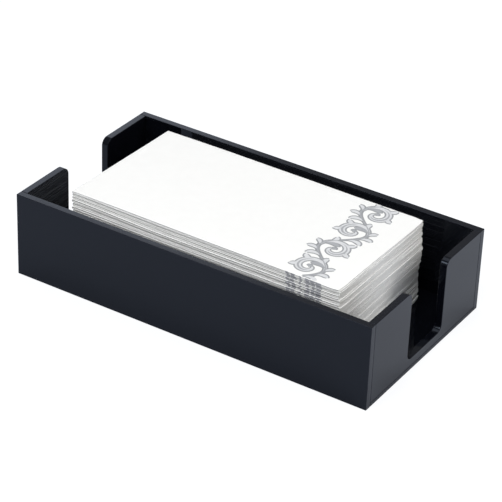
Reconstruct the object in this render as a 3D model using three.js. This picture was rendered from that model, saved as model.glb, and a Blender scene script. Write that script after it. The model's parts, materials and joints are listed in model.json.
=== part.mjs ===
// A counter-top napkin dispenser: an open tray of five bonded sheet-acrylic panels, notched at
// both ends for the fingers, and the pile of folded guest napkins that it holds.
//
// Millimetres, +Z up. +X runs along the tray to the right and -Y is its front.
// The origin is the centre of the tray's underside, where it rests on a counter.

import * as THREE from "three";

// Tray: outside size, and the sheets that its four walls and its base are cut from
const TRAY_LENGTH = 270;
const TRAY_WIDTH = 144;
const TRAY_HEIGHT = 61;
const WALL_SHEET = 5;
const BASE_SHEET = 3;
const EDGE_BREAK = 0.35;

// Finger notch in each end wall
const NOTCH_WIDTH = 44;
const NOTCH_FLOOR = 9; // above the counter
const NOTCH_MOUTH_RADIUS = 5.5;
const NOTCH_FLOOR_RADIUS = 5;

// Napkins: folded size, and how they lie on each other
const NAPKIN_COUNT = 28;
const NAPKIN_LENGTH = 202.6;
const NAPKIN_WIDTH = 105.8;
const NAPKIN_PITCH = 2.21;
const NAPKIN_GAP = 0.1;
const NAPKIN_CORNER_RADIUS = 1.5;
// No two napkins lie quite above each other. The pile leans this way and that by up to the lean,
// and each napkin is off that by up to the stray.
const PILE_LEAN = 0.45;
const STRAY = 0.25;

const INSIDE_WIDTH = TRAY_WIDTH - 2 * WALL_SHEET;
const SEGMENTS_PER_ARC = 6;

const acrylic = new THREE.MeshStandardMaterial({
  color: 0x14151a,
  roughness: 0.1,
  metalness: 0,
});
const napkinPaper = new THREE.MeshStandardMaterial({
  color: 0xf3f3f0,
  roughness: 0.92,
  metalness: 0,
});

// A closed outline through corners [x, y, radius], anticlockwise. A radius rounds its corner,
// whether the outline turns left there or right.
function roundedOutline(corners) {
  const outline = new THREE.Shape();
  corners.forEach(([x, y, radius], i) => {
    const corner = new THREE.Vector2(x, y);
    if (!radius) {
      outline[i ? "lineTo" : "moveTo"](x, y);
      return;
    }
    const [beforeX, beforeY] = corners.at(i - 1);
    const [afterX, afterY] = corners[(i + 1) % corners.length];
    const back = new THREE.Vector2(beforeX, beforeY).sub(corner).normalize();
    const on = new THREE.Vector2(afterX, afterY).sub(corner).normalize();
    const first = corner.clone().addScaledVector(back, radius);
    const last = corner.clone().addScaledVector(on, radius);
    // every corner here is square, so the arc's centre completes a square with its ends
    const centre = first.clone().add(last).sub(corner);
    const turnsRight = back.cross(on) > 0;
    outline[i ? "lineTo" : "moveTo"](first.x, first.y);
    outline.absarc(
      centre.x,
      centre.y,
      radius,
      first.sub(centre).angle(),
      last.sub(centre).angle(),
      turnsRight,
    );
  });
  outline.closePath();
  return outline;
}

function rectangle(left, right, low, high, radius = 0) {
  return roundedOutline([
    [left, low, radius],
    [right, low, radius],
    [right, high, radius],
    [left, high, radius],
  ]);
}

// A panel cut from a sheet, its outline's edges broken, lying from z = 0 to the sheet's thickness
function panel(name, outline, sheet) {
  const geometry = new THREE.ExtrudeGeometry(outline, {
    depth: sheet - 2 * EDGE_BREAK,
    bevelEnabled: true,
    bevelThickness: EDGE_BREAK,
    bevelSize: EDGE_BREAK,
    bevelOffset: -EDGE_BREAK,
    bevelSegments: 2,
    curveSegments: SEGMENTS_PER_ARC,
  });
  geometry.translate(0, 0, EDGE_BREAK);
  const mesh = new THREE.Mesh(geometry, acrylic);
  mesh.name = name;
  return mesh;
}

// The base lies between the two long walls and runs the tray's whole length.
function basePlate() {
  const outline = rectangle(
    -TRAY_LENGTH / 2,
    TRAY_LENGTH / 2,
    -INSIDE_WIDTH / 2,
    INSIDE_WIDTH / 2,
  );
  return panel("base_plate", outline, BASE_SHEET);
}

// A long wall stands on the counter over the tray's whole length, in front of the plane y = backY.
function longWall(name, backY) {
  const outline = rectangle(-TRAY_LENGTH / 2, TRAY_LENGTH / 2, 0, TRAY_HEIGHT);
  const mesh = panel(name, outline, WALL_SHEET);
  mesh.rotation.x = Math.PI / 2; // the outline's y becomes z, and the thickness runs towards -Y
  mesh.position.y = backY;
  return mesh;
}

// An end wall stands on the base between the long walls, flush with their ends, to the right of
// the plane x = leftX. Its notch is open at the top and stops just above the base.
function endWall(name, leftX) {
  const side = INSIDE_WIDTH / 2;
  const notch = NOTCH_WIDTH / 2;
  const outline = roundedOutline([
    [-side, BASE_SHEET, 0],
    [side, BASE_SHEET, 0],
    [side, TRAY_HEIGHT, 0],
    [notch, TRAY_HEIGHT, NOTCH_MOUTH_RADIUS],
    [notch, NOTCH_FLOOR, NOTCH_FLOOR_RADIUS],
    [-notch, NOTCH_FLOOR, NOTCH_FLOOR_RADIUS],
    [-notch, TRAY_HEIGHT, NOTCH_MOUTH_RADIUS],
    [-side, TRAY_HEIGHT, 0],
  ]);
  const mesh = panel(name, outline, WALL_SHEET);
  mesh.rotation.set(Math.PI / 2, Math.PI / 2, 0); // outline (x, y) becomes (y, z)
  mesh.position.x = leftX;
  return mesh;
}

// A folded napkin as a plain slab with its folds' small corner rounding. Napkin 1 is the lowest.
function napkin(number) {
  const outline = rectangle(
    -NAPKIN_LENGTH / 2,
    NAPKIN_LENGTH / 2,
    -NAPKIN_WIDTH / 2,
    NAPKIN_WIDTH / 2,
    NAPKIN_CORNER_RADIUS,
  );
  const geometry = new THREE.ExtrudeGeometry(outline, {
    depth: NAPKIN_PITCH - NAPKIN_GAP,
    bevelEnabled: false,
    curveSegments: 2,
  });
  const mesh = new THREE.Mesh(geometry, napkinPaper);
  mesh.name = `napkin_${String(number).padStart(2, "0")}`;
  mesh.position.set(
    PILE_LEAN * Math.sin(0.31 * number + 2) + STRAY * Math.sin(2.4 * number),
    PILE_LEAN * Math.sin(0.47 * number) + STRAY * Math.sin(3.7 * number + 1),
    BASE_SHEET + NAPKIN_GAP + NAPKIN_PITCH * (number - 1),
  );
  return mesh;
}

const tray = new THREE.Group();
tray.name = "tray";
tray.add(
  basePlate(),
  longWall("front_wall", WALL_SHEET - TRAY_WIDTH / 2),
  longWall("back_wall", TRAY_WIDTH / 2),
  endWall("left_end_wall", -TRAY_LENGTH / 2),
  endWall("right_end_wall", TRAY_LENGTH / 2 - WALL_SHEET),
);

const pile = new THREE.Group();
pile.name = "pile";
for (let number = 1; number <= NAPKIN_COUNT; number += 1) {
  pile.add(napkin(number));
}

const dispenser = new THREE.Group();
dispenser.name = "napkin_dispenser";
dispenser.add(tray, pile);

export default dispenser;
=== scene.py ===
"""A counter-top napkin dispenser: a tray of black acrylic sheet and the folded napkins piled in it."""

import json
import math

import bpy
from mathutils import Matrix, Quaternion, Vector, noise

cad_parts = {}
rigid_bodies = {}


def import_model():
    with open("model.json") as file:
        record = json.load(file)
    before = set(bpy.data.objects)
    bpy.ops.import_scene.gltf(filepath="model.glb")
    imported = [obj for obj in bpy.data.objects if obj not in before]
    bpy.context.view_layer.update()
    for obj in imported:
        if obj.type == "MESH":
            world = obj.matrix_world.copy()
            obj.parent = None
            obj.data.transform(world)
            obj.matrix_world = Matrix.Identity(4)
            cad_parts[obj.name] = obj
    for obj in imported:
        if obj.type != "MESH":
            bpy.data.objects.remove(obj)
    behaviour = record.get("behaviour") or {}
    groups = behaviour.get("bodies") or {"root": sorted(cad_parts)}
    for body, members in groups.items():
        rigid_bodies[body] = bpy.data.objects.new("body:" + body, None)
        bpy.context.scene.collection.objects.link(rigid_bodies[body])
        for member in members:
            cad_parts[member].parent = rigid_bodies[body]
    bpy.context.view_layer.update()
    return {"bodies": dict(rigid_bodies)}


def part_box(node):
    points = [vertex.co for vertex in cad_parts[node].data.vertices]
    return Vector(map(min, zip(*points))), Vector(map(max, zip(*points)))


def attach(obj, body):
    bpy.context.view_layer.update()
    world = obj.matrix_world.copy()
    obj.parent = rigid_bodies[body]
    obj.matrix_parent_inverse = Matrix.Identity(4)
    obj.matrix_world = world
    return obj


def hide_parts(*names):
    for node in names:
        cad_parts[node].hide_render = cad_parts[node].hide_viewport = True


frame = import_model()

MM = 0.001

# ---------------------------------------------------------------------------------------------
# Camera: a long lens well back from the tray, looking down over its right front corner, with
# the slight roll of a camera that isn't quite level.
CAMERA_AIM = Vector((3.27, -1.04, 32.4)) * MM
CAMERA_DISTANCE = 1471.6 * MM
CAMERA_AZIMUTH = math.radians(31.883)
CAMERA_ELEVATION = math.radians(31.457)
CAMERA_ROLL = math.radians(2.282)

camera = bpy.data.objects.new("camera", bpy.data.cameras.new("camera"))
bpy.context.scene.collection.objects.link(camera)
bpy.context.scene.camera = camera
camera.data.sensor_width = 36
camera.data.lens = 160.84
towards_camera = Vector(
    (
        math.sin(CAMERA_AZIMUTH) * math.cos(CAMERA_ELEVATION),
        -math.cos(CAMERA_AZIMUTH) * math.cos(CAMERA_ELEVATION),
        math.sin(CAMERA_ELEVATION),
    )
)
camera.location = CAMERA_AIM + towards_camera * CAMERA_DISTANCE
camera.rotation_mode = "QUATERNION"
level = (-towards_camera).to_track_quat("-Z", "Y")
camera.rotation_quaternion = level @ Quaternion((0, 0, 1), CAMERA_ROLL)

# ---------------------------------------------------------------------------------------------
# Acrylic: black cast sheet. Its faces are as polished as the glass they were cast on, with faint
# wipe marks and a little dust. Its sawn edges are scraped to a satin finish.
ACRYLIC_BLACK = (0.0026, 0.0030, 0.0050, 1)
SAWN_BLACK = (0.0065, 0.0072, 0.0105, 1)
ACRYLIC_IOR = 1.49
ACRYLIC_SHINE = 0.22  # the black sheet mirrors less than clear sheet of its index would
ACRYLIC_TINT = (0.70, 0.81, 1.0, 1)  # and what it mirrors looks a little bluer
DUST_GREY = (0.16, 0.16, 0.17, 1)


def add_node(tree, kind, place=(0, 0), **settings):
    """A node in a tree. Its settings are its own properties, or values for inputs by name."""
    node = tree.nodes.new(kind)
    node.location = place
    for name, value in settings.items():
        if hasattr(node, name):
            setattr(node, name, value)
        else:
            node.inputs[name.replace("_", " ").title()].default_value = value
    return node


def new_group(name, inputs, outputs):
    """An empty shader node group with these named sockets, and its input and output nodes."""
    group = bpy.data.node_groups.new(name, "ShaderNodeTree")
    for socket, kind, value in inputs:
        made = group.interface.new_socket(socket, in_out="INPUT", socket_type=kind)
        if value is not None:
            made.default_value = value
    for socket, kind in outputs:
        group.interface.new_socket(socket, in_out="OUTPUT", socket_type=kind)
    start = add_node(group, "NodeGroupInput", (-900, 0))
    end = add_node(group, "NodeGroupOutput", (700, 0))
    return group, start, end


def new_material(name):
    """A material with a Principled shader, and the Object coordinates that it reads."""
    material = bpy.data.materials.new(name)
    material.use_nodes = True
    tree = material.node_tree
    tree.nodes.clear()
    output = add_node(tree, "ShaderNodeOutputMaterial", (600, 0))
    shader = add_node(tree, "ShaderNodeBsdfPrincipled", (300, 0))
    tree.links.new(shader.outputs["BSDF"], output.inputs["Surface"])
    place = add_node(tree, "ShaderNodeTexCoord", (-900, 0)).outputs["Object"]
    return material, tree, shader, place


def handling_marks():
    """Dust specks, wipe marks and the low unevenness of a surface that is handled and wiped."""
    group, start, end = new_group(
        "handling_marks",
        [
            ("Place", "NodeSocketVector", None),
            ("Smoothest", "NodeSocketFloat", 0.05),
            ("Roughest", "NodeSocketFloat", 0.12),
        ],
        [
            ("Dust", "NodeSocketFloat"),
            ("Roughness", "NodeSocketFloat"),
            ("Height", "NodeSocketFloat"),
        ],
    )
    link = group.links.new
    specks = add_node(group, "ShaderNodeTexNoise", (-600, 300), scale=1500, detail=2)
    patches = add_node(group, "ShaderNodeTexNoise", (-600, 50), scale=28, detail=3)
    stretched = add_node(group, "ShaderNodeMapping", (-700, -250), scale=(1, 1, 0.07))
    stretched.inputs["Rotation"].default_value = (0.5, 0.35, 0.2)
    wipes = add_node(group, "ShaderNodeTexNoise", (-450, -250), scale=900, detail=2)
    for texture in (specks, patches):
        link(start.outputs["Place"], texture.inputs["Vector"])
    link(start.outputs["Place"], stretched.inputs["Vector"])
    link(stretched.outputs["Vector"], wipes.inputs["Vector"])
    speck_mask = add_node(group, "ShaderNodeMapRange", (-350, 300))
    speck_mask.inputs["From Min"].default_value = 0.69
    speck_mask.inputs["From Max"].default_value = 0.78
    link(specks.outputs["Fac"], speck_mask.inputs["Value"])
    dusty = add_node(group, "ShaderNodeMath", (-100, 250), operation="MULTIPLY")
    link(speck_mask.outputs["Result"], dusty.inputs[0])
    link(patches.outputs["Fac"], dusty.inputs[1])
    link(dusty.outputs[0], end.inputs["Dust"])
    wiped = add_node(group, "ShaderNodeMath", (-150, -100), operation="MULTIPLY")
    link(patches.outputs["Fac"], wiped.inputs[0])
    link(wipes.outputs["Fac"], wiped.inputs[1])
    gloss = add_node(group, "ShaderNodeMapRange", (150, -50))
    gloss.inputs["From Min"].default_value = 0.12
    gloss.inputs["From Max"].default_value = 0.42
    link(wiped.outputs[0], gloss.inputs["Value"])
    link(start.outputs["Smoothest"], gloss.inputs["To Min"])
    link(start.outputs["Roughest"], gloss.inputs["To Max"])
    link(gloss.outputs["Result"], end.inputs["Roughness"])
    link(wipes.outputs["Fac"], end.inputs["Height"])
    return group


HANDLING_MARKS = handling_marks()


def acrylic(name, smoothest, roughest, dust, unevenness, colour):
    """Black acrylic with its handling marks: between two roughnesses, dusty and uneven."""
    material, tree, shader, place = new_material(name)
    shader.inputs["IOR"].default_value = ACRYLIC_IOR
    shader.inputs["Specular IOR Level"].default_value = ACRYLIC_SHINE
    shader.inputs["Specular Tint"].default_value = ACRYLIC_TINT
    marks = add_node(tree, "ShaderNodeGroup", (-650, 0), node_tree=HANDLING_MARKS)
    marks.inputs["Smoothest"].default_value = smoothest
    marks.inputs["Roughest"].default_value = roughest
    tree.links.new(place, marks.inputs["Place"])
    share = add_node(tree, "ShaderNodeMath", (-350, 250), operation="MULTIPLY")
    share.inputs[1].default_value = dust
    tree.links.new(marks.outputs["Dust"], share.inputs[0])
    mix = add_node(tree, "ShaderNodeMix", (-100, 200), data_type="RGBA")
    mix.inputs["A"].default_value = colour
    mix.inputs["B"].default_value = DUST_GREY
    tree.links.new(share.outputs[0], mix.inputs["Factor"])
    tree.links.new(mix.outputs["Result"], shader.inputs["Base Color"])
    tree.links.new(marks.outputs["Roughness"], shader.inputs["Roughness"])
    bump = add_node(tree, "ShaderNodeBump", (0, -250), strength=unevenness, distance=0.02 * MM)
    tree.links.new(marks.outputs["Height"], bump.inputs["Height"])
    tree.links.new(bump.outputs["Normal"], shader.inputs["Normal"])
    return material


POLISHED = acrylic("acrylic_polished", 0.015, 0.06, 0.5, 0.04, ACRYLIC_BLACK)
SAWN = acrylic("acrylic_sawn_edge", 0.20, 0.30, 0.3, 0.35, SAWN_BLACK)

# ---------------------------------------------------------------------------------------------
# Plain panels: the base and the two long walls are rectangles sawn from the sheet. Their edges
# are just broken so that they don't cut, and the panels are solvent-bonded edge to face.
EDGE_BREAK = 0.35 * MM
EDGE_BREAK_STEPS = 3


def apply_modifier(piece, kind, **settings):
    """Adds a modifier with these settings and applies it."""
    modifier = piece.modifiers.new(kind.lower(), kind)
    for name, value in settings.items():
        setattr(modifier, name, value)
    bpy.ops.object.modifier_apply(modifier=modifier.name)


def finish_panel(piece, node, thickness_axis, polished_edges=lambda centre: False):
    """Breaks a panel's edges, gives it its two finishes and puts it in the CAD panel's place."""
    apply_modifier(
        piece,
        "BEVEL",
        width=EDGE_BREAK,
        segments=EDGE_BREAK_STEPS,
        limit_method="ANGLE",
        angle_limit=math.radians(40),
    )
    bpy.ops.object.shade_smooth()
    apply_modifier(piece, "WEIGHTED_NORMAL", weight=100)
    piece.data.materials.append(POLISHED)
    piece.data.materials.append(SAWN)
    for face in piece.data.polygons:
        on_edge = abs(face.normal[thickness_axis]) < 0.99
        sawn = on_edge and not polished_edges(face.center)
        face.material_index = 1 if sawn else 0
    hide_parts(node)
    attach(piece, "tray")


def plain_panel(name, node, thickness_axis):
    """A rectangular panel that fills its CAD panel's box."""
    low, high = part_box(node)
    bpy.ops.object.select_all(action="DESELECT")
    bpy.ops.mesh.primitive_cube_add(size=1, location=(low + high) / 2)
    piece = bpy.context.object
    piece.name = name
    piece.scale = high - low
    bpy.ops.object.transform_apply(location=True, rotation=True, scale=True)
    finish_panel(piece, node, thickness_axis)


plain_panel("base_panel", "base_plate", 2)
plain_panel("front_panel", "front_wall", 1)
plain_panel("back_panel", "back_wall", 1)

# ---------------------------------------------------------------------------------------------
# End panels: sawn from the same sheet, with a finger notch routed from the top edge almost down
# to the base. The cutter leaves the notch's floor corners round, and its mouth is rounded over.
NOTCH_WIDTH = 44 * MM
NOTCH_FLOOR = 9 * MM
NOTCH_MOUTH_RADIUS = 5.5 * MM
NOTCH_FLOOR_RADIUS = 5 * MM
NOTCH_STEPS = 14


def round_notch_corners(piece, height, radius):
    """Rounds the two edges that cross the sheet at the notch's sides, at this height."""
    bpy.ops.mesh.select_all(action="DESELECT")
    bpy.ops.object.mode_set(mode="OBJECT")
    for edge in piece.data.edges:
        first, last = (piece.data.vertices[i].co for i in edge.vertices)
        crosses = abs(first.y - last.y) < 0.01 * MM and abs(first.z - last.z) < 0.01 * MM
        at_side = abs(abs(first.y) - NOTCH_WIDTH / 2) < 0.01 * MM
        edge.select = crosses and at_side and abs(first.z - height) < 0.01 * MM
    bpy.ops.object.mode_set(mode="EDIT")
    bpy.ops.mesh.bevel(offset=radius, segments=NOTCH_STEPS, affect="EDGES")


def notched_panel(name, node):
    """An end panel: a sheet's outline with the notch cut out of it, given its thickness."""
    low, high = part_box(node)
    bpy.ops.object.select_all(action="DESELECT")
    bpy.ops.mesh.primitive_plane_add(
        size=1,
        location=(low.x, (low.y + high.y) / 2, (low.z + high.z) / 2),
        rotation=(0, math.pi / 2, 0),
    )
    piece = bpy.context.object
    piece.name = name
    piece.scale = (high.z - low.z, high.y - low.y, 1)
    bpy.ops.object.transform_apply(location=True, rotation=True, scale=True)
    bpy.ops.object.mode_set(mode="EDIT")
    bpy.ops.mesh.select_mode(type="FACE")
    for cut, normal in (
        ((0, NOTCH_WIDTH / 2, 0), (0, 1, 0)),
        ((0, -NOTCH_WIDTH / 2, 0), (0, 1, 0)),
        ((0, 0, NOTCH_FLOOR), (0, 0, 1)),
    ):
        bpy.ops.mesh.select_all(action="SELECT")
        bpy.ops.mesh.bisect(plane_co=cut, plane_no=normal)
    bpy.ops.mesh.select_all(action="DESELECT")
    bpy.ops.object.mode_set(mode="OBJECT")
    for face in piece.data.polygons:
        face.select = abs(face.center.y) < NOTCH_WIDTH / 2 and face.center.z > NOTCH_FLOOR
    bpy.ops.object.mode_set(mode="EDIT")
    bpy.ops.mesh.delete(type="FACE")
    bpy.ops.mesh.select_all(action="SELECT")
    bpy.ops.mesh.extrude_region_move(TRANSFORM_OT_translate={"value": (high.x - low.x, 0, 0)})
    bpy.ops.mesh.select_all(action="SELECT")
    bpy.ops.mesh.dissolve_limited(angle_limit=math.radians(1))
    bpy.ops.mesh.select_all(action="SELECT")
    bpy.ops.mesh.normals_make_consistent(inside=False)
    bpy.ops.mesh.select_mode(type="EDGE")
    round_notch_corners(piece, high.z, NOTCH_MOUTH_RADIUS)
    round_notch_corners(piece, NOTCH_FLOOR, NOTCH_FLOOR_RADIUS)
    bpy.ops.object.mode_set(mode="OBJECT")
    notch_side = NOTCH_WIDTH / 2 + NOTCH_MOUTH_RADIUS
    finish_panel(piece, node, 0, lambda c: abs(c.y) < notch_side and c.z > NOTCH_FLOOR - EDGE_BREAK)


notched_panel("left_end_panel", "left_end_wall")
notched_panel("right_end_panel", "right_end_wall")

# ---------------------------------------------------------------------------------------------
# Napkins: each is one sheet of soft airlaid paper, folded in thirds across its width and then in
# half along its length, so that it is six plies thick. Its half fold is at the left end of the
# pile, and its cut ends are at the right. They lie loosely on each other, none quite alike.
PAPER = 0.33 * MM
PLY_PITCH = 0.345 * MM  # within each half of three plies
FIRST_FLAP_INSET = 1.4 * MM  # how far the first flap's edge stays short of the back fold
LAST_FLAP_INSET = 0.4 * MM  # and the last flap's, of the front fold
FOLD_SKEW = 2.4 * MM  # how much longer the folded napkin is at its front than at its back
SWELL = 1.35 * MM  # of the pile at its left front corner
SWELL_HEIGHT = 57.5 * MM
LOWER_TURN = 0.030  # how far the lower napkins are turned, in radians
HALF_STRAY = 0.45 * MM  # of a half's cut end, and of each ply's in it
PLY_STRAY = 0.07 * MM
CORNER_GIVE = 0.7 * MM  # how far a soft corner at the cut end draws in
CORNER_REACH = 3.5 * MM
PANEL_STEPS = 22
LENGTH_STEPS = 32
FOLD_STEPS = 5
HALF_FOLD_STEPS = 7
PAPER_WHITE = (0.880, 0.886, 0.882, 1)
PAPER_CLOUD = (0.845, 0.851, 0.847, 1)

napkin_bodies = sorted(body for body in frame["bodies"] if body.startswith("napkin_"))
PILE_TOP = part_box(napkin_bodies[-1])[1].z


def wander(a, b=0.0, c=0.0):
    """Smooth irregularity between about -1 and 1."""
    return 1.6 * noise.noise(Vector((a, b, c)))


def ease(t):
    return t * t * (3 - 2 * t)


def clamp01(t):
    return max(0.0, min(1.0, t))


def paper_grain():
    """Airlaid paper: a felt of short soft fibres, slightly cloudy, with fine pits and hairs."""
    group, start, end = new_group(
        "paper_grain",
        [("Place", "NodeSocketVector", None)],
        [("Cloud", "NodeSocketFloat"), ("Height", "NodeSocketFloat")],
    )
    link = group.links.new
    cloud = add_node(group, "ShaderNodeTexNoise", (-600, 250), scale=160, detail=4)
    felt = add_node(group, "ShaderNodeTexNoise", (-600, 0), scale=1400, detail=4)
    felt.inputs["Distortion"].default_value = 1.2
    pits = add_node(group, "ShaderNodeTexVoronoi", (-600, -250), scale=900)
    for texture in (cloud, felt, pits):
        link(start.outputs["Place"], texture.inputs["Vector"])
    link(cloud.outputs["Fac"], end.inputs["Cloud"])
    height = add_node(group, "ShaderNodeMath", (-200, -100), operation="ADD")
    link(felt.outputs["Fac"], height.inputs[0])
    link(pits.outputs["Distance"], height.inputs[1])
    link(height.outputs[0], end.inputs["Height"])
    return group


PAPER_GRAIN = paper_grain()


def paper_like(name, colour, cloudy_colour, roughness):
    """Paper, or ink that has soaked into it, between two colours that the fibres vary."""
    material, tree, shader, place = new_material(name)
    shader.inputs["Roughness"].default_value = roughness
    shader.inputs["Specular IOR Level"].default_value = 0.25
    grain = add_node(tree, "ShaderNodeGroup", (-650, 0), node_tree=PAPER_GRAIN)
    tree.links.new(place, grain.inputs["Place"])
    mix = add_node(tree, "ShaderNodeMix", (-100, 200), data_type="RGBA")
    mix.inputs["A"].default_value = cloudy_colour
    mix.inputs["B"].default_value = colour
    tree.links.new(grain.outputs["Cloud"], mix.inputs["Factor"])
    tree.links.new(mix.outputs["Result"], shader.inputs["Base Color"])
    felted = add_node(tree, "ShaderNodeBump", (0, -250), strength=0.35, distance=0.05 * MM)
    tree.links.new(grain.outputs["Height"], felted.inputs["Height"])
    tree.links.new(felted.outputs["Normal"], shader.inputs["Normal"])
    return material


NAPKIN_PAPER = paper_like("napkin_paper", PAPER_WHITE, PAPER_CLOUD, 0.9)


def spaced(steps):
    """Even steps from 0 to 1, drawn closer together at both ends."""
    fractions = [i / steps for i in range(steps + 1)]
    return [t - 0.07 * math.sin(2 * math.pi * t) for t in fractions]


def across_profile(width):
    """The sheet's path across its width, folded in thirds: (sideways place, ply level) pairs.
    Level 0 is the outer ply. The first flap folds in at the front, the last round it at the back.
    """
    side = width / 2 - PAPER / 2
    front_radius = PLY_PITCH / 2
    back_radius = PLY_PITCH
    inner_edge = side - FIRST_FLAP_INSET
    path = [
        (inner_edge + (front_radius - side - inner_edge) * t, 1.0) for t in spaced(PANEL_STEPS)
    ]
    for i in range(1, FOLD_STEPS):
        turn = math.pi * i / FOLD_STEPS
        path.append((front_radius * (1 - math.sin(turn)) - side, 0.5 + 0.5 * math.cos(turn)))
    start, stop = front_radius - side, side - back_radius
    path += [(start + (stop - start) * t, 0.0) for t in spaced(PANEL_STEPS)]
    for i in range(1, FOLD_STEPS):
        turn = math.pi * i / FOLD_STEPS
        path.append((side - back_radius * (1 - math.sin(turn)), 1 - math.cos(turn)))
    path += [(stop + (LAST_FLAP_INSET - side - stop) * t, 2.0) for t in spaced(PANEL_STEPS)]
    return path


def along_path():
    """The sheet's path along its length, folded in half: (share of the length, turn) pairs, from
    the lower half's cut end round the half fold to the upper half's."""
    path = [(1 - t, 0.0) for t in spaced(LENGTH_STEPS)]
    path += [(0.0, math.pi * i / HALF_FOLD_STEPS) for i in range(1, HALF_FOLD_STEPS)]
    path += [(t, math.pi) for t in spaced(LENGTH_STEPS)]
    return path


def pile_shift(x, y, z):
    """How far the pile's slight waves lift a point in it. They grow with height."""
    height = clamp01(z / PILE_TOP)
    wave = 0.42 * MM * height * wander(x / 0.09, y / 0.06, z / 0.012)
    # at the left front corner the upper part swells, and squeezes what is above it
    corner = ease(clamp01((-30 * MM - x) / (70 * MM))) * ease(clamp01((30 * MM - y) / (70 * MM)))
    return wave + SWELL * corner * math.exp(-(((z - SWELL_HEIGHT) / (6 * MM)) ** 2))


class Napkin:
    """One folded napkin: the place of any point of its sheet, and how it strays from square."""

    def __init__(self, number, node):
        self.number = number
        self.low, self.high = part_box(node)
        self.height = self.high.z - self.low.z
        self.middle = (self.low + self.high) / 2
        # the lower ones are turned a little, so their far corners sit back from the cut end
        lower = ease(clamp01((18 - number) / 10))
        self.turned = 0.0035 * wander(number * 0.77, 3.1) + LOWER_TURN * lower
        self.left = self.low.x - self.middle.x + 0.5 * MM * wander(number * 1.31, 8.2)
        self.right = self.high.x - self.middle.x
        # where its edges gather when its plies close up: 0 is its underside, and 1 its top
        self.gathers = clamp01(0.5 + 0.5 * wander(number * 0.93, 5.5))

    def level_height(self, level):
        """How far a ply's middle lies in from the outer face of its half."""
        return PAPER / 2 + PLY_PITCH * level

    def cut_end(self, y, level, turn):
        """Where a ply's cut end is. The halves, and the plies in them, don't end together."""
        upper = turn > math.pi / 2
        half = 7.0 if upper else 2.0
        stray = HALF_STRAY * wander(self.number * 1.7, y / 0.06, half)
        ply = PLY_STRAY * wander(self.number * 2.3 + level * 1.9, y / 0.04, half)
        return self.right + stray + ply

    def slack(self, x, y):
        """How much the napkin thins towards its edges, where its plies are free to close up."""
        from_side = ((self.high.y - self.low.y) / 2 - abs(y)) / (10 * MM)
        from_end = (self.right - x) / (12 * MM)
        edge = max(ease(clamp01(1 - from_side)), 0.8 * ease(clamp01(1 - from_end)))
        loose = 0.5 + 0.5 * wander(self.number * 1.9, x / 0.09, y / 0.09)
        return edge * (0.01 + 0.07 * clamp01(loose) ** 2)

    def point(self, y, level, share, turn):
        """The place of a point of the folded sheet."""
        half_height = self.height / 2
        arm = half_height - self.level_height(level)
        # the half fold isn't quite square, so the napkin is longest at its front
        fold = self.left + half_height + FOLD_SKEW * (y / (self.high.y - self.low.y) - 0.5)
        end = self.cut_end(y, level, turn)
        x = fold + (end - fold) * share - arm * math.sin(turn)
        z = half_height - arm * math.cos(turn)
        y += 0.34 * MM * wander(self.number * 3.3, x / 0.10, 9.0 if turn > math.pi / 2 else 4.0)
        # the corners at the cut end are soft, and give
        side = (self.high.y - self.low.y) / 2
        from_end = (self.right - x) / CORNER_REACH
        from_side = (side - abs(y)) / CORNER_REACH
        give = CORNER_GIVE * math.exp(-(from_end**2) - from_side**2)
        x -= give
        y -= math.copysign(give, y)
        squeeze = self.slack(x, y)
        rise = squeeze * self.gathers + (1 - squeeze) * z / self.height
        x, y = (
            self.middle.x + x - y * self.turned,
            self.middle.y + y + x * self.turned,
        )
        bottom = self.low.z + pile_shift(x, y, self.low.z)
        top = self.high.z + pile_shift(x, y, self.high.z)
        return Vector((x, y, bottom + (top - bottom) * rise))


def folded_sheet(name, napkin):
    """A flat sheet of paper, folded, and then given its thickness."""
    profile = across_profile(napkin.high.y - napkin.low.y)
    rows = along_path()
    bpy.ops.object.select_all(action="DESELECT")
    bpy.ops.mesh.primitive_grid_add(
        x_subdivisions=len(profile) - 1, y_subdivisions=len(rows) - 1, size=1
    )
    piece = bpy.context.object
    piece.name = name
    for i, vertex in enumerate(piece.data.vertices):
        y, level = profile[i % len(profile)]
        share, turn = rows[i // len(profile)]
        vertex.co = napkin.point(y, level, share, turn)
    apply_modifier(piece, "SOLIDIFY", thickness=PAPER, offset=0, use_even_offset=False)
    bpy.ops.object.shade_smooth_by_angle(angle=math.radians(50))
    piece.data.materials.append(NAPKIN_PAPER)
    return piece


# ---------------------------------------------------------------------------------------------
# Printed border: a band of scrolls in soft grey ink, across each napkin near its cut end. It is
# printed on the flat sheet, so it runs over the folds. A wavy stem carries a scroll in each of
# its hollows, with leaves on the outside of the scrolls and on the stem's crests.
BORDER_FROM_END = 29 * MM  # from the cut end to the middle of the band
HOLLOWS = 4  # scrolls across the folded napkin
STEM_REACH = 9.6 * MM  # how far the stem swings from the band's middle
SCROLL_OFFSET = 1.2 * MM  # of a scroll's middle, back towards the stem
SCROLL_START = 11.0 * MM  # its radius where it leaves the stem
SCROLL_END = 2.2 * MM  # and at its eye
SCROLL_SWEEP = math.radians(400)
SCROLL_STEPS = 70
STROKE_STEP = 0.5 * MM  # the length of a printed quad
OUTLINE = 1.05 * MM
OUTLINE_INK, PALE_WASH, MID_TINT, FOLD_INK = range(4)  # what a quad is printed with
INKS = (
    paper_like("border_outline", (0.275, 0.288, 0.305, 1), (0.365, 0.378, 0.395, 1), 0.6),
    paper_like("border_wash", (0.60, 0.615, 0.64, 1), (0.70, 0.71, 0.73, 1), 0.8),
    paper_like("border_tint", (0.33, 0.342, 0.37, 1), (0.43, 0.442, 0.465, 1), 0.7),
    paper_like("border_on_folds", (0.28, 0.295, 0.34, 1), (0.55, 0.56, 0.60, 1), 0.7),
)
INK_LIFTS = (0.030 * MM, 0.042 * MM, 0.054 * MM, 0.054 * MM)  # each ink over those before it


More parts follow.
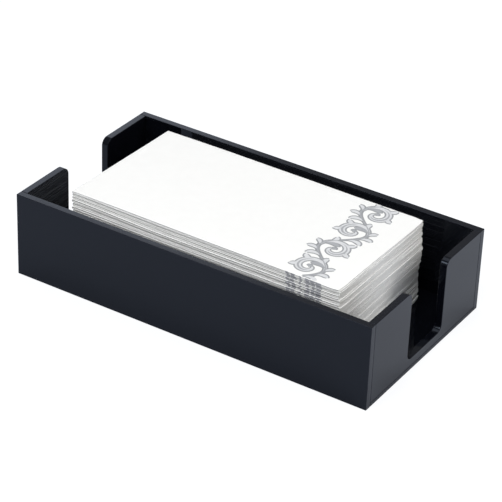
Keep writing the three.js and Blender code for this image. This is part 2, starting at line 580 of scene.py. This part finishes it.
def headed(points):
    """A line through these points, as (point, heading) pairs."""
    line = []
    for i, place in enumerate(points):
        ahead = points[min(i + 1, len(points) - 1)] - points[max(i - 1, 0)]
        line.append((place, math.atan2(ahead[1], ahead[0])))
    return line


def curl(start, heading, length, first_bend, last_bend):
    """A line from start, its bend (in radians per metre) changing evenly along it."""
    steps = max(3, round(length / STROKE_STEP))
    step = length / steps
    place, line = Vector(start), []
    for i in range(steps + 1):
        line.append((place.copy(), heading))
        heading += (first_bend + (last_bend - first_bend) * i / steps) * step
        place += Vector((math.cos(heading), math.sin(heading))) * step
    return line


def ribbon(line, widths, grow=0.0):
    """Quads along a line. Widths gives the half width at each share of its length."""
    rails = []
    for i, (place, heading) in enumerate(line):
        side = Vector((-math.sin(heading), math.cos(heading)))
        half = widths(i / (len(line) - 1)) + grow
        rails.append((place + side * half, place - side * half))
    return [(a, c, d, b) for (a, b), (c, d) in zip(rails, rails[1:])]


def band(least, most):
    """Half widths of a band that swells from its ends to its middle."""
    return lambda t: least + (most - least) * math.sin(math.pi * t)


def teardrop(most):
    """Half widths of a leaf: a point at its root, and a full round tip."""
    return lambda t: most * math.sin(math.pi * (0.05 + 0.9 * t) ** 1.5)


def border_pattern(width):
    """The band's prints, as (what with, quad) pairs. A quad's points lie in the flat sheet:
    across it, and along it from the band's middle."""
    prints = []

    def outlined(line, widths, fill):
        """A stroke filled with one ink, with an outline round it."""
        prints.extend((OUTLINE_INK, quad) for quad in ribbon(line, widths, OUTLINE))
        prints.extend((fill, quad) for quad in ribbon(line, widths))

    def leaf(line, at, lean, length, bends, full, fill, up):
        """A leaf that grows from this share of a line and leans away from it. Its length and
        its fullness are in millimetres, and it curls more and more from its root to its tip."""
        root, heading = line[round(at * (len(line) - 1))]
        first, last = bends
        spine = curl(root, heading + up * lean, length * MM, up * first, up * last)
        outlined(spine, teardrop(full * MM), fill)

    pitch = width / HOLLOWS
    steps = round(width / STROKE_STEP)
    stem = headed(
        [
            Vector((width * (i / steps - 0.5), STEM_REACH * math.sin(math.pi * HOLLOWS * i / steps)))
            for i in range(steps + 1)
        ]
    )
    for hollow in range(HOLLOWS):
        up = -1 if hollow % 2 else 1
        middle = Vector(((hollow + 0.5) * pitch - width / 2, -SCROLL_OFFSET * up))
        scroll = []
        for i in range(SCROLL_STEPS + 1):
            wound = i / SCROLL_STEPS
            angle = math.radians(112) - SCROLL_SWEEP * wound
            arm = SCROLL_END + (SCROLL_START - SCROLL_END) * (1 - wound**1.25)
            scroll.append(middle + Vector((math.cos(angle), up * math.sin(angle))) * arm)
        scroll = headed(scroll)
        # leaves peel off the outside of the scroll, and a long one lies inside it
        for at, length in ((0.16, 9.0), (0.30, 9.4), (0.45, 8.4)):
            leaf(scroll, at, 0.05, length, (20, 360), 1.5, PALE_WASH, up)
        leaf(scroll, 0.10, -0.50, 12.0, (-40, -230), 1.7, MID_TINT, up)
        # others stand on the stem's crest, and on its way down to the next hollow
        first = hollow * steps // HOLLOWS
        crest = stem[first : first + steps // HOLLOWS + 1]
        for at, length, full in ((0.06, 11.5, 1.5), (0.27, 9.5, 1.4), (0.50, 8.0, 1.2)):
            leaf(crest, at, 0.25, length, (10, 330), full, PALE_WASH, up)
        outlined(crest, band(0.2 * MM, 0.6 * MM), MID_TINT)
        outlined(scroll, band(0.3 * MM, 1.9 * MM), PALE_WASH)
        prints.extend((MID_TINT, quad) for quad in ribbon(scroll[20:60], band(0.0, 0.7 * MM)))
        eye, heading = scroll[-1]
        outlined(curl(eye, heading, 3.4 * MM, -up * 420, -up * 700), teardrop(1.3 * MM), MID_TINT)
    return prints


# where the band's strokes cross the front fold: along the sheet from its middle, and half width
FOLD_MARKS = [
    (along * MM, half * MM)
    for along, half in ((-8.2, 1.6), (-4.6, 1.9), (0.6, 0.8), (5.6, 1.8), (9.4, 2.0), (13.6, 2.6))
]


def printed_border(name, napkin):
    """The prints on one napkin: the band on its outer ply, and its marks on the front folds.
    They are sheets of quads just outside the paper, which follow its plies."""
    side = (napkin.high.y - napkin.low.y) / 2 - PAPER / 2
    middle = napkin.right - BORDER_FROM_END
    fold = napkin.left + napkin.height / 2
    points, faces, inks, numbers = [], [], [], {}

    def corner(across, along, level, turn=math.pi):
        """The number of the vertex at this place of the sheet."""
        key = (across, along, level, turn)
        if key not in numbers:
            numbers[key] = len(points)
            share = (middle + along - fold) / (napkin.cut_end(across, level, turn) - fold)
            points.append(napkin.point(across, level, share, turn))
        return numbers[key]

    for ink, quad in PATTERN:
        if all(abs(place[0]) < side - PLY_PITCH for place in quad):
            level = -(PAPER / 2 + INK_LIFTS[ink]) / PLY_PITCH
            faces.append([corner(*place, level) for place in quad])
            inks.append(ink)
    # the marks run round the fold of each half, and over the edge of its last flap
    radius = PLY_PITCH / 2
    arm = radius + PAPER / 2 + INK_LIFTS[FOLD_INK]
    over_fold = []
    for i in range(FOLD_STEPS + 1):
        turn = math.pi * i / FOLD_STEPS
        across = radius - side - arm * math.sin(turn)
        over_fold.append((across, 0.5 - arm / PLY_PITCH * math.cos(turn)))
    flap = LAST_FLAP_INSET - side - INK_LIFTS[FOLD_INK]
    over_flap = [(flap, 1.55), (flap, 2.45)]  # the last flap is the ply at level 2
    for i, (centre, half) in enumerate(FOLD_MARKS):
        for turn in (0.0, math.pi):
            seed = napkin.number * 5.7 + i * 3.3 + turn
            shifted = centre + 1.3 * MM * wander(seed)
            wide = half * (0.8 + 0.6 * wander(seed, 4.0))
            for path in (over_fold, over_flap):
                for (y0, level0), (y1, level1) in zip(path, path[1:]):
                    quad = (
                        (y0, shifted - wide, level0),
                        (y0, shifted + wide, level0),
                        (y1, shifted + wide, level1),
                        (y1, shifted - wide, level1),
                    )
                    faces.append([corner(*place, turn) for place in quad])
                    inks.append(FOLD_INK)
    mesh = bpy.data.meshes.new(name)
    mesh.from_pydata(points, [], faces)
    for material in INKS:
        mesh.materials.append(material)
    mesh.polygons.foreach_set("material_index", inks)
    piece = bpy.data.objects.new(name, mesh)
    bpy.context.scene.collection.objects.link(piece)
    return piece


first_low, first_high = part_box(napkin_bodies[0])
PATTERN = border_pattern(first_high.y - first_low.y)

for number, body in enumerate(napkin_bodies, start=1):
    napkin = Napkin(number, body)
    sheet = folded_sheet("folded_" + body, napkin)
    border = printed_border("border_" + body, napkin)
    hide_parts(body)
    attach(sheet, body)
    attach(border, body)

# ---------------------------------------------------------------------------------------------
# Studio: a pale table in a dim room. One large soft box hangs overhead and two stand at the front,
# a warmer one lights the cut ends, and a small cool one behind lights the tray's top edges.
TABLE_SIZE = 8
TABLE_WHITE = (0.82, 0.87, 0.98, 1)
WASHED_OUT = 0.75  # share of the table's look that is plain white
WARM = (1.0, 0.96, 0.90)
COOL = (0.82, 0.88, 1.0)
ROOM_LIGHT = 0.35

bpy.ops.object.select_all(action="DESELECT")
bpy.ops.mesh.primitive_plane_add(size=TABLE_SIZE, location=(0, 0, 0))
table = bpy.context.object
table.name = "table"
table_white, tree, shader, _ = new_material("table_white")
shader.inputs["Base Color"].default_value = TABLE_WHITE
shader.inputs["Roughness"].default_value = 0.9
shader.inputs["Specular IOR Level"].default_value = 0.0
# the camera sees the table washed out to white, with only a trace of the tray's shadow
washed_out = add_node(tree, "ShaderNodeEmission", (300, 300))
washed_out.inputs["Strength"].default_value = 1.12
seen = add_node(tree, "ShaderNodeLightPath", (0, 500))
part = add_node(tree, "ShaderNodeMath", (250, 500), operation="MULTIPLY")
part.inputs[1].default_value = WASHED_OUT
mixed = add_node(tree, "ShaderNodeMixShader", (500, 300))
tree.links.new(seen.outputs["Is Camera Ray"], part.inputs[0])
tree.links.new(part.outputs[0], mixed.inputs["Fac"])
tree.links.new(shader.outputs["BSDF"], mixed.inputs[1])
tree.links.new(washed_out.outputs["Emission"], mixed.inputs[2])
tree.links.new(mixed.outputs["Shader"], tree.nodes["Material Output"].inputs["Surface"])
table.data.materials.append(table_white)


def soft_box(name, place, width, height, power, colour=(1, 1, 1)):
    """A rectangular soft light that faces the tray."""
    light = bpy.data.lights.new(name, "AREA")
    light.shape = "RECTANGLE"
    light.size = width
    light.size_y = height
    light.energy = power
    light.color = colour
    lamp = bpy.data.objects.new(name, light)
    lamp.location = place
    lamp.rotation_euler = (-Vector(place)).to_track_quat("-Z", "Y").to_euler()
    bpy.context.scene.collection.objects.link(lamp)


soft_box("overhead_box", (-0.05, 0.0, 1.6), 1.2, 1.2, 7.0)
soft_box("right_box", (1.1, 0.35, 0.8), 0.6, 0.6, 5.2, WARM)
soft_box("front_box", (0.15, -0.85, 1.4), 0.7, 0.7, 8.6)
soft_box("back_left_box", (-0.85, 0.92, 0.72), 0.45, 0.45, 1.05, COOL)
soft_box("front_left_box", (-0.5, -0.95, 0.85), 0.4, 0.4, 3.4)

room = bpy.data.worlds.new("room")
bpy.context.scene.world = room
room.use_nodes = True
room.node_tree.nodes["Background"].inputs["Color"].default_value = (1, 1, 1, 1)
room.node_tree.nodes["Background"].inputs["Strength"].default_value = ROOM_LIGHT
bpy.context.scene.view_settings.view_transform = "Standard"
